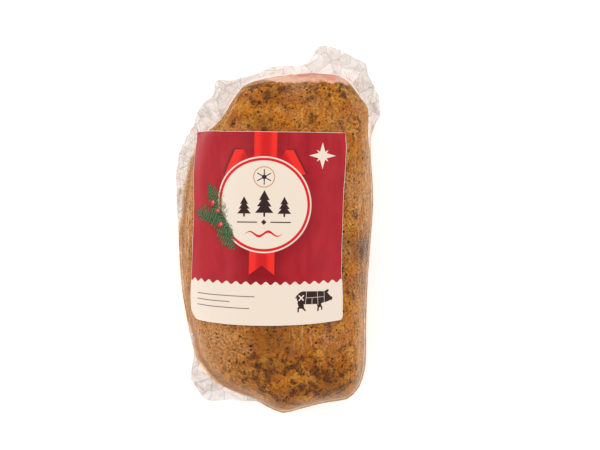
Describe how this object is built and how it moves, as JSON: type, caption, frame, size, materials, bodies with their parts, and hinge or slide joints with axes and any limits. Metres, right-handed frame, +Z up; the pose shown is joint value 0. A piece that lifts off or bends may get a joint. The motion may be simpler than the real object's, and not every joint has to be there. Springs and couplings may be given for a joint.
{
  "type": "vacuum-packed cooked ham",
  "caption": "Small cooked ham with a mustard and breadcrumb crust, sealed in a tight clear film pouch with a plain festive paper label on top; lies on its back.",
  "frame": {"origin": "bottom centre of the whole pack's box, on the surface that it lies on", "axes": "+Z up through the label, +Y along the ham to its cut end and the top of the label, +X to the right of the label"},
  "size_m": [0.114, 0.205, 0.0686],
  "materials": {
    "ham_crust": "moist brown mustard and breadcrumb crust, mottled, with fine dark crumbs; pink lean meat and pale fat at the cut end",
    "clear_film": "clear, thin, glossy vacuum film, hazy and finely crumpled where it stands off the ham",
    "label_paper": "half-gloss coated paper printed in deep red and cream, with light pleats from the film under it"
  },
  "bodies": {
    "root": {"ham": "ham_crust", "upper_film": "clear_film", "lower_film": "clear_film", "label": "label_paper"}
  },
  "joints": []
}
